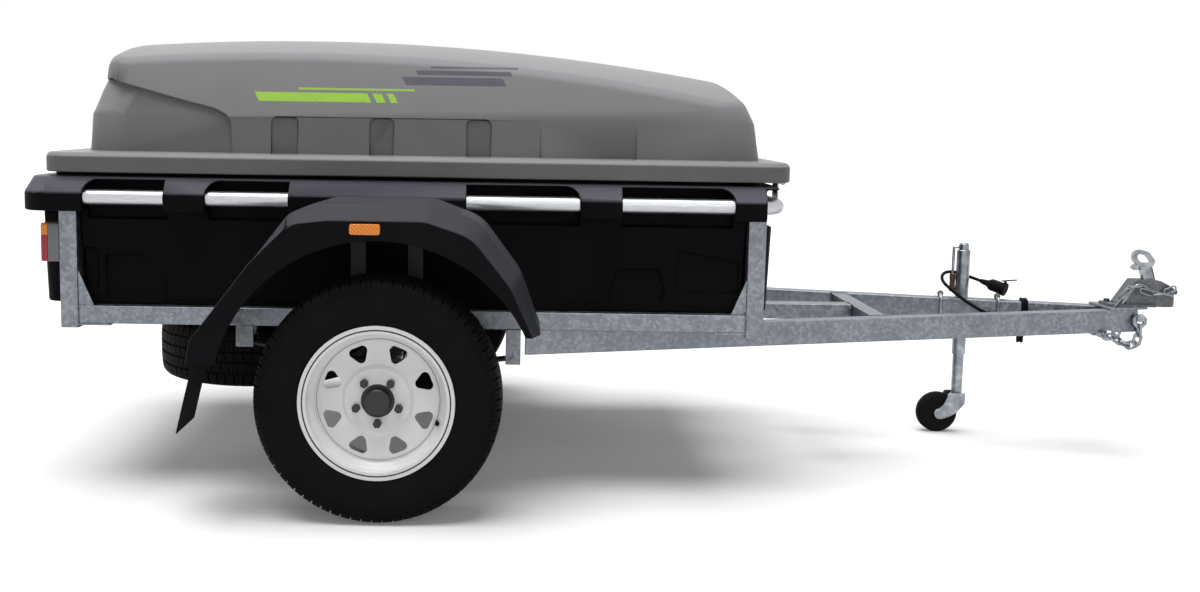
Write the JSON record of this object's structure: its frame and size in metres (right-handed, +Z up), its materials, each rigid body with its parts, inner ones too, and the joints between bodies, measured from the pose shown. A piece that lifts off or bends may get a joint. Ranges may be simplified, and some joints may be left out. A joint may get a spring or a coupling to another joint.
{
  "type": "luggage trailer",
  "caption": "Small road trailer with a moulded tub and hinged lid on a steel frame, A-frame drawbar, ball coupling, jockey wheel and spare wheel.",
  "frame": {"origin": "on the ground, at the middle of the overall length and width", "axes": "+X forward to the coupling, +Y to the trailer's left, +Z up"},
  "size_m": [3.374, 1.748, 1.2361],
  "materials": {
    "galvanised_steel": "hot-dip galvanised, dull spangle",
    "zinc_plated_steel": "bright zinc plated",
    "handrail_tube": "brushed tube",
    "tyre_rubber": "moulded tyre",
    "black_rubber": "moulded rubber",
    "white_wheel_paint": "gloss white enamel",
    "hub_paint": "dull silver paint",
    "spring_steel": "black paint",
    "black_polyethylene": "rotationally moulded, fine grain",
    "grey_polyethylene": "rotationally moulded, fine grain",
    "black_guard_plastic": "moulded, fine leather grain",
    "grey_lamp_plastic": "moulded",
    "amber_lens": "clear-coloured lens",
    "red_lens": "clear-coloured lens"
  },
  "bodies": {
    "chassis": {"side_rail_left": "galvanised_steel", "side_rail_right": "galvanised_steel", "cross_members": "galvanised_steel", "corner_posts": "galvanised_steel", "drawbar_rail_left": "galvanised_steel", "drawbar_rail_right": "galvanised_steel", "drawbar_cross_brace": "galvanised_steel", "drawbar_centre_brace": "galvanised_steel", "nose_plate": "galvanised_steel", "spare_carrier": "galvanised_steel", "axle": "galvanised_steel", "spring_hangers": "galvanised_steel", "spring_clamps": "galvanised_steel", "guard_brackets": "spring_steel", "coupling_bail": "zinc_plated_steel", "safety_chains": "zinc_plated_steel", "lead_tube": "black_rubber", "lead_coil": "black_rubber", "lead_plug": "black_rubber", "lead_clip": "black_rubber", "coupling_body": "zinc_plated_steel", "coupling_lever": "zinc_plated_steel", "jockey_tube": "zinc_plated_steel", "jockey_clamp": "zinc_plated_steel", "jockey_crank": "zinc_plated_steel", "spare_tyre": "tyre_rubber", "spare_rim": "white_wheel_paint", "spring_left": "spring_steel", "spring_right": "spring_steel", "tub": "black_polyethylene", "handrail": "handrail_tube", "lid_seal": "black_rubber", "lid_hinge_brackets": "zinc_plated_steel", "guard_left": "black_guard_plastic", "guard_right": "black_guard_plastic", "marker_lamps": "amber_lens", "mud_flaps": "black_rubber", "tail_lamp_housings": "grey_lamp_plastic", "tail_lamp_lenses_amber": "amber_lens", "tail_lamp_lenses_red": "red_lens"},
    "lid": {"lid": "grey_polyethylene", "lid_hinge_straps": "zinc_plated_steel", "lid_latch": "zinc_plated_steel"},
    "wheel_left": {"tyre_left": "tyre_rubber", "rim_left": "white_wheel_paint", "hub_left": "hub_paint"},
    "wheel_right": {"tyre_right": "tyre_rubber", "rim_right": "white_wheel_paint", "hub_right": "hub_paint"},
    "jockey_leg": {"jockey_inner_tube": "zinc_plated_steel"},
    "jockey_fork": {"jockey_fork": "zinc_plated_steel"},
    "jockey_wheel": {"jockey_wheel": "black_rubber"}
  },
  "joints": [
    {"name": "lid_hinge", "type": "hinge", "parent": "chassis", "child": "lid", "pos_m": [0.36, 0, 0.852], "axis": [0, 1, 0], "range_deg": [0, 60]},
    {"name": "wheel_left_spin", "type": "hinge", "parent": "chassis", "child": "wheel_left", "pos_m": [-0.717, 0.757, 0.311], "axis": [0, 1, 0], "continuous": true},
    {"name": "wheel_right_spin", "type": "hinge", "parent": "chassis", "child": "wheel_right", "pos_m": [-0.717, -0.757, 0.311], "axis": [0, 1, 0], "continuous": true},
    {"name": "jockey_wind", "type": "slide", "parent": "chassis", "child": "jockey_leg", "axis": [0, 0, 1], "range_m": [-0.08, 0.13]},
    {"name": "jockey_swivel", "type": "hinge", "parent": "jockey_leg", "child": "jockey_fork", "pos_m": [1.089, 0.21175, 0.12], "axis": [0, 0, 1], "continuous": true},
    {"name": "jockey_spin", "type": "hinge", "parent": "jockey_fork", "child": "jockey_wheel", "pos_m": [1.025, 0.21175, 0.066], "axis": [0, 1, 0], "continuous": true}
  ]
}
